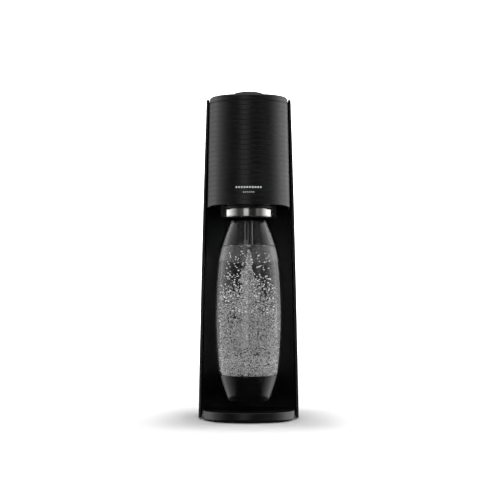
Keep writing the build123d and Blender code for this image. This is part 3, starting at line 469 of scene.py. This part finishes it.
def coil_piece(name, node, body, wire_mm, turns):
    """Compression spring between the heights its node has: a round wire on a helix, x = r cos a,
    y = centre + r sin a, z rising evenly with a."""
    low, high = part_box(node)
    radius = (high.x - low.x) / 2 / MM - wire_mm / 2
    tall = (high.z - low.z) / MM
    angle = np.linspace(0, 2 * math.pi * turns, turns * 28 + 1)[:, None]
    round_wire = np.linspace(0, 2 * math.pi, 10, endpoint=False)
    out = radius + wire_mm / 2 * np.cos(round_wire)
    middle = low.z / MM + wire_mm / 2 + (tall - wire_mm) * angle / angle[-1]
    rise = middle + wire_mm / 2 * np.sin(round_wire)
    centre_x, centre_y = (low.x + high.x) / 2 / MM, (low.y + high.y) / 2 / MM
    points = np.stack([centre_x + out * np.cos(angle), centre_y + out * np.sin(angle), rise], -1) * MM
    piece = grid_mesh(name, points[:, ::-1], FINISHES["steel"], body)
    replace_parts(piece, node)
    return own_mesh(piece)


# ---------------------------------------------------------------- gas cylinder

def sleeve_piece():
    """Printed film round the gas cylinder: a thin tube with its own map, u once round from its front and
    v up it."""
    low, high = LABEL_LOW.z / MM, LABEL_HIGH.z / MM
    section = np.array([(29.72, low), (29.98, low), (30.0, low + 0.3),
                        (30.0, high - 0.3), (29.98, high), (29.72, high)])
    steps = 128
    points = lathe(section, CYLINDER_Y, steps)
    piece = grid_mesh("printed_sleeve", points, FINISHES["label"], "gas_cylinder", round_rows=True)
    layer = piece.data.uv_layers.new(name="sleeve")
    column = np.tile(np.arange(steps), len(section))[:, None] + np.array([0, 1, 1, 0])
    heights = np.array([vertex.co.z for vertex in piece.data.vertices])
    at = np.array([loop.vertex_index for loop in piece.data.loops])
    v = (heights[at] / MM - low) / (high - low)
    layer.data.foreach_set("uv", np.stack([column.ravel() / steps, v], -1).ravel())
    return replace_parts(piece, "cylinder_label")


# ---------------------------------------------------------------- bottle, water and bubbles

OUTLINE_MM = np.array([(31.1, 28.7), (38.9, 55.0), (43.0, 91.5), (44.35, 131.0),
                       (43.4, 170.0), (40.3, 209.0), (33.5, 240.6), (25.5, 261.6)])
CUP_TOP_MM = 59.0
WATER_TOP_MM = 228.0
WALL_MM = 1.7
IN_CUP_MM = 1.75  # the bottle is this much slimmer inside its cup


def natural_spline(x, y, at):
    """Cubic curve through the points (x, y) with no bend at its ends, read at the given places."""
    step = np.diff(x)
    slope = np.diff(y) / step
    system = np.diag(np.r_[1, 2 * (step[:-1] + step[1:]), 1])
    rows = np.arange(1, len(x) - 1)
    system[rows, rows - 1] = step[:-1]
    system[rows, rows + 1] = step[1:]
    bend = np.linalg.solve(system, np.r_[0, 6 * np.diff(slope), 0])
    k = np.clip(np.searchsorted(x, at) - 1, 0, len(step) - 1)
    before, after = at - x[k], x[k + 1] - at
    curved = (bend[k] * after ** 3 + bend[k + 1] * before ** 3) / (6 * step[k])
    from_left = (y[k] / step[k] - bend[k] * step[k] / 6) * after
    from_right = (y[k + 1] / step[k] - bend[k + 1] * step[k] / 6) * before
    return curved + from_left + from_right


def bottle_radius(z_mm):
    """Outer radius of the bottle's flank at a height."""
    return natural_spline(OUTLINE_MM[:, 1], OUTLINE_MM[:, 0], np.asarray(z_mm, float))


def flank(low, high, inset):
    """The bottle's flank between two heights, set in by a wall, and further inside the cup."""
    z = np.linspace(low, high, 60)
    side = np.stack([bottle_radius(z) - inset, z], axis=-1)
    side[:, 0] -= np.where(z < CUP_TOP_MM, IN_CUP_MM, 0.0)
    return side


def bottle_piece():
    """Blow-moulded bottle: one wall from its foot inside the cup to its mouth and back down inside."""
    neck = rounded([(25.5, 261.6), (20.6, 266.2, 6), (15.6, 270.4, 2), (15.2, 271.2, 0.5), (18.5, 278.0, 0.6),
                    (18.5, 280.6, 0.6), (15.2, 283.0, 0.8), (15.0, 288.0, 0.7), (12.0, 288.0, 0.7),
                    (12.0, 268.0, 6), (19.0, 264.0, 4), (25.5 - WALL_MM, 260.6)])
    foot = rounded([(POLE_MM, 31.0), (16.0, 30.0, 8), (24.0, 26.2, 3), (30.0, 29.0, 4), (33.0, 40.0)])
    outside = flank(44.0, 261.0, 0.0)
    inside = flank(44.0, 260.0, WALL_MM)[::-1]
    inner_foot = foot[::-1] + np.array([0.0, WALL_MM])
    inner_foot[:, 0] = np.maximum(inner_foot[:, 0] - 1.2, POLE_MM)
    profile = np.vstack([foot, outside, neck, inside, inner_foot])
    points = lathe(profile, BOTTLE_Y)
    piece = grid_mesh("bottle_clear", points, FINISHES["clear_bottle"], "bottle")
    piece.visible_shadow = False
    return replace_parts(piece, "bottle_body")


def cup_piece():
    """Black cup on the bottle's foot: flush side, rolled lower edge, hollow underneath."""
    z = np.linspace(33.0, CUP_TOP_MM - 0.4, 24)
    side = np.stack([bottle_radius(z), z], axis=-1)
    under = rounded([(POLE_MM, 27.5), (22.0, 26.5, 6), (25.0, 24.0, 1.5), (29.5, 24.0, 4.5),
                     (float(side[0, 0]), 33.0)], 10)
    rim_r = float(bottle_radius(CUP_TOP_MM))
    inside = side[::-1] - np.array([1.6, 0.0])
    floor = np.array([(24.0, 31.0), (POLE_MM, 31.5)])
    rim = np.array([(rim_r - 0.15, CUP_TOP_MM - 0.12), (rim_r - 0.5, CUP_TOP_MM - 0.02),
                    (rim_r - 1.6, CUP_TOP_MM - 0.05)])
    profile = np.vstack([under, side[1:], rim, inside, floor])
    points = lathe(profile, BOTTLE_Y)
    piece = grid_mesh("bottle_foot_cup", points, FINISHES["gloss_black"], "bottle")
    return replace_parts(piece, "bottle_base_cup")


def water_piece():
    """Water filling the bottle; it reaches a little into the wall so that no air shows between them."""
    side = flank(44.0, WATER_TOP_MM, WALL_MM - 0.25)
    top_r = float(side[-1, 0])
    foot = np.array([(POLE_MM, 32.5), (22.0, 31.5), (29.0, 33.0), (32.0, 40.0)])
    top = np.array([(top_r - 0.6, WATER_TOP_MM - 0.5), (top_r - 3.0, WATER_TOP_MM - 0.9),
                    (POLE_MM, WATER_TOP_MM - 0.9)])
    profile = np.vstack([foot, side, top])
    piece = grid_mesh("water", lathe(profile, BOTTLE_Y), still_water("water"), "bottle")
    piece.visible_shadow = False
    return piece


def bubble_cloud(name, places_mm, radii_mm, finish, rings=4, spokes=6):
    """Small spheres at given places: one sphere of few faces, scaled and moved for each as whole arrays."""
    tilt = np.linspace(0, math.pi, rings + 1)[1:-1]
    turn = np.linspace(0, 2 * math.pi, spokes, endpoint=False)
    wide, high = np.sin(tilt)[:, None], np.cos(tilt)[:, None]
    belt = np.stack([wide * np.cos(turn), wide * np.sin(turn), high * np.ones(spokes)], axis=-1)
    ball = np.vstack([[0, 0, 1], belt.reshape(-1, 3), [0, 0, -1]])
    faces = []
    for k in range(spokes):
        after = (k + 1) % spokes
        faces.append((0, 1 + k, 1 + after))
        for ring in range(rings - 2):
            a, b = 1 + ring * spokes + k, 1 + ring * spokes + after
            faces += [(a, a + spokes, b + spokes), (a, b + spokes, b)]
        base = 1 + (rings - 2) * spokes
        faces.append((len(ball) - 1, base + after, base + k))
    faces = np.array(faces)
    corners = (places_mm[:, None, :] + radii_mm[:, None, None] * ball[None]) * MM
    offsets = np.arange(len(places_mm))[:, None, None] * len(ball)
    all_faces = (faces[None] + offsets).reshape(-1, 3).tolist()
    piece = mesh_object(name, corners.reshape(-1, 3), all_faces, finish)
    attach(piece, "bottle")
    return piece


def bubbles():
    """Gas bubbles: a wavering cone of froth below the jet, a dense cloud of bubbles and froth lower down,
    and single bubbles beside the cone that a painted glow makes bright."""
    rng = np.random.default_rng(7)
    axis_y = BOTTLE_Y / MM
    jet_z = TIP_LOW.z / MM - 1.0
    # The dark and white tints of these finishes are painted shade and light, and their glows are painted
    # light.
    froth = gas_bubble("fine_gas_froth", "#3a3b3c", "#ffffff", 0.15, 0.25, 1.8, 0.16)
    skins = gas_bubble("gas_bubble_skins", "#202122", "#ffffff", 0.5, 0.12, 1.5, 0.22)
    sparks = gas_bubble("painted_glow_gas_bubbles", "#8c8d8e", "#ffffff", 0.3, 0.1, 2.5, 0.7)

    def ring_places(z, outer, inner):
        """Places at given heights, spread evenly over a ring between two radii."""
        r = np.sqrt(rng.uniform(inner ** 2, outer ** 2))
        t = rng.uniform(0, 2 * math.pi, len(z))
        return np.stack([r * np.sin(t), axis_y - r * np.cos(t), z], axis=-1)

    below = rng.uniform(0, 1, 3600) ** 0.85 * 125
    wander = 1 + 0.16 * np.sin(below / 4.7) + 0.12 * np.sin(below / 2.1 + 1.3)
    spread = np.minimum(0.7 + below * 0.17, 17) * wander
    places = ring_places(jet_z - below, spread, spread * 0.1)
    places[:, 0] += np.minimum(below * 0.05, 2.0) * np.sin(below / 6.5)
    bubble_cloud("gas_plume", places, rng.uniform(0.35, 0.85, len(below)), froth)

    z = 60 + 120 * rng.beta(1.0, 1.6, 3600)
    outer = bottle_radius(z) * 0.69
    bubble_cloud("gas_cloud", ring_places(z, outer, outer * 0.5), rng.uniform(0.4, 1.0, len(z)), skins)

    z = 60 + 116 * rng.beta(1.0, 1.5, 2800)
    outer = bottle_radius(z) * 0.64
    bubble_cloud("gas_froth_low", ring_places(z, outer, outer * 0.3), rng.uniform(0.35, 0.75, len(z)), froth)

    z = jet_z - 1 - rng.uniform(0, 1, 330) ** 0.7 * 80
    outer = bottle_radius(z) * 0.6
    bubble_cloud("gas_bubbles_rising", ring_places(z, outer, outer * 0.35), rng.uniform(0.45, 0.95, len(z)),
                 sparks, 5, 8)


# ---------------------------------------------------------------- stage

FRONT_SECTOR_DEGREES = 100  # to each side of the front
FOOTPRINT = (0.062, 0.053, 0.0)  # half of the machine's base, with its depth counted at 0.6


def paper_sweep():
    """White paper: diffuse round the machine's footprint and self-lit with the distance from it, so that the
    soft shadow fades out and there is no horizon."""
    made, tree, shader, place = new_material("white_paper_sweep", "#f4f4f4", 1.0)
    folded = add(tree, "VectorMath", {0: place}, operation="ABSOLUTE").outputs[0]
    scaled = add(tree, "VectorMath", {0: folded, 1: (1.0, 0.6, 0.0)}, operation="MULTIPLY").outputs[0]
    beyond = add(tree, "VectorMath", {0: scaled, 1: FOOTPRINT}, operation="SUBTRACT").outputs[0]
    outside = add(tree, "VectorMath", {0: beyond, 1: (0.0, 0.0, 0.0)}, operation="MAXIMUM").outputs[0]
    away = add(tree, "VectorMath", {0: outside}, operation="LENGTH").outputs[1]
    near = add(tree, "MapRange", {"Value": away, "From Min": 0.0, "From Max": 0.09, "To Max": 0.34},
               interpolation_type="SMOOTHSTEP").outputs[0]
    far = add(tree, "MapRange", {"Value": away, "From Min": 0.07, "From Max": 1.6, "To Max": 0.9},
              interpolation_type="SMOOTHSTEP").outputs[0]
    shader.inputs["Emission Color"].default_value = (1, 1, 1, 1)
    tree.links.new(sums(tree, "ADD", near, far), shader.inputs["Emission Strength"])
    return made


def floor_and_backdrop():
    """A pale round floor that curves up into a wall all round. It doesn't show in the black gloss, and the
    sector in front of the machine doesn't show through the clear bottle either."""
    profile = np.array([(0.05, 0.0), (0.6, 0.0), (3.2, 0.0), (4.0, 0.12),
                        (4.6, 0.5), (4.95, 1.2), (5.0, 2.4), (5.0, 4.5)])
    steps = 96
    turn = np.linspace(0, 2 * math.pi, steps, endpoint=False)
    radius, height = profile[:, :1], np.repeat(profile[:, 1:], steps, 1)
    grid = np.stack([radius * np.cos(turn), radius * np.sin(turn), height], -1)
    index = np.arange(len(profile) * steps).reshape(-1, steps)
    quads = np.stack([index[:-1], np.roll(index[:-1], -1, 1), np.roll(index[1:], -1, 1), index[1:]], -1)
    in_front = np.zeros(quads.shape[:2], bool)
    in_front[1:, np.abs(np.degrees(turn) - 270) < FRONT_SECTOR_DEGREES] = True
    paper = paper_sweep()
    for name, faces in (("floor_and_wall", quads[~in_front].tolist() + [index[0].tolist()]),
                        ("front_sector", quads[in_front].tolist())):
        sweep = mesh_object(name, grid.reshape(-1, 3), faces, paper)
        sweep.visible_glossy = False
        sweep.visible_transmission = name != "front_sector"


def scrim(name, dim_strength, bright_strength, power):
    """Lit cloth of a studio panel: dim along one edge and brighter towards the other, along its X."""
    made = bpy.data.materials.new(name)
    made.use_nodes = True
    tree = made.node_tree
    tree.nodes.clear()
    place = add(tree, "TexCoord").outputs["Object"]
    across = add(tree, "SeparateXYZ", {0: place}).outputs[0]
    share = add(tree, "MapRange", {"Value": across, "From Min": -0.5, "From Max": 0.5}).outputs[0]
    rise = sums(tree, "POWER", share, power)
    strength = add(tree, "MapRange", {"Value": rise, "To Min": dim_strength,
                                      "To Max": bright_strength}).outputs[0]
    light = add(tree, "Emission", {"Strength": strength})
    add(tree, "OutputMaterial", {"Surface": light.outputs[0]})
    return made


def light_panel(name, dim_end, bright_end, low, high, dim_strength, bright_strength, power=2.0):
    """An upright lit panel between two places on the floor plan; the camera doesn't see it."""
    first, last = Vector(dim_end), Vector(bright_end)
    middle, run = (first + last) / 2, last - first
    square = np.array([(-0.5, 0, -0.5), (0.5, 0, -0.5), (0.5, 0, 0.5), (-0.5, 0, 0.5)])
    cloth = scrim(name, dim_strength, bright_strength, power)
    panel = mesh_object(name, square, [(0, 1, 2, 3)], cloth, smooth=False)
    panel.location = (middle.x, middle.y, (low + high) / 2)
    panel.scale = (run.length, 1, high - low)
    panel.rotation_euler = (0, 0, math.atan2(run.y, run.x))
    panel.visible_camera = False


def soft_light(name, place, aim, size, power):
    """A rectangular softbox at a place, turned to a point."""
    lamp = bpy.data.lights.new(name, "AREA")
    lamp.shape = "RECTANGLE"
    lamp.size, lamp.size_y = size
    lamp.energy = power
    light = bpy.data.objects.new(name, lamp)
    light.location = place
    light.rotation_euler = (Vector(aim) - Vector(place)).to_track_quat("-Z", "Y").to_euler()
    light.visible_camera = False
    bpy.context.scene.collection.objects.link(light)


def studio():
    """Tall graded panels at both sides and behind, one in front on the left and a soft light overhead, in a
    dark room."""
    light_panel("left_panel", (-1.0, -0.95), (-1.0, 0.5), -0.7, 1.05, 0.04, 1.9, 1.9)
    light_panel("right_panel", (1.0, -0.62), (1.0, 0.4), -0.7, 1.05, 0.12, 2.2, 1.3)
    light_panel("left_front_fill", (-1.0, -1.9), (-1.0, -0.95), -0.7, 1.6, 0.08, 0.04, 1.0)
    light_panel("right_front_fill", (1.0, -1.45), (1.0, -0.62), -0.7, 1.6, 0.16, 0.12, 1.0)
    light_panel("left_rear_panel", (-0.75, 1.6), (-1.0, 0.5), -0.7, 1.6, 0.35, 0.9, 1.0)
    light_panel("right_rear_panel", (0.75, 1.6), (1.0, 0.4), -0.7, 1.6, 0.8, 1.4, 1.0)
    light_panel("front_panel", (-1.1, -2.6), (-0.05, -2.7), -0.9, 1.9, 0.6, 0.7)
    soft_light("overhead", (0, -0.1, 2.2), (0, 0, 0), (2.4, 2.4), 20)
    world = bpy.data.worlds.new("studio")
    world.use_nodes = True
    world.node_tree.nodes["Background"].inputs[0].default_value = (1, 1, 1, 1)
    world.node_tree.nodes["Background"].inputs[1].default_value = 0.02
    bpy.context.scene.world = world
    bpy.context.scene.view_settings.view_transform = "Standard"


def camera():
    """Level camera 2 m in front of the bottle, a little below the machine's middle."""
    lens = bpy.data.cameras.new("camera")
    lens.sensor_width = 36
    lens.lens = 110.07
    lens.shift_x, lens.shift_y = 0.0027, 0.08
    eye = bpy.data.objects.new("camera", lens)
    eye.location = (0, BOTTLE_Y - 2.0, 0.17)
    eye.rotation_euler = (math.pi / 2, 0, 0)
    bpy.context.scene.collection.objects.link(eye)
    bpy.context.scene.camera = eye


camera()
dress_cad_nodes()
drum_piece()
button_piece()
band_piece()
coil_piece("button_return_coil", "button_spring", "housing", 1.2, 6)
coil_piece("latch_return_coil", "latch_spring", "cover", 0.6, 4)
coil_piece("valve_closing_coil", "valve_spring", "gas_cylinder", 0.9, 9)
printed_dots("printed_mark_upper_row", 301.2, 31.5, 10, 1.25)
printed_dots("printed_mark_lower_row", 294.9, 13.0, 6, 0.75)
sleeve_piece()
bottle_piece()
cup_piece()
water_piece()
bubbles()
floor_and_backdrop()
studio()
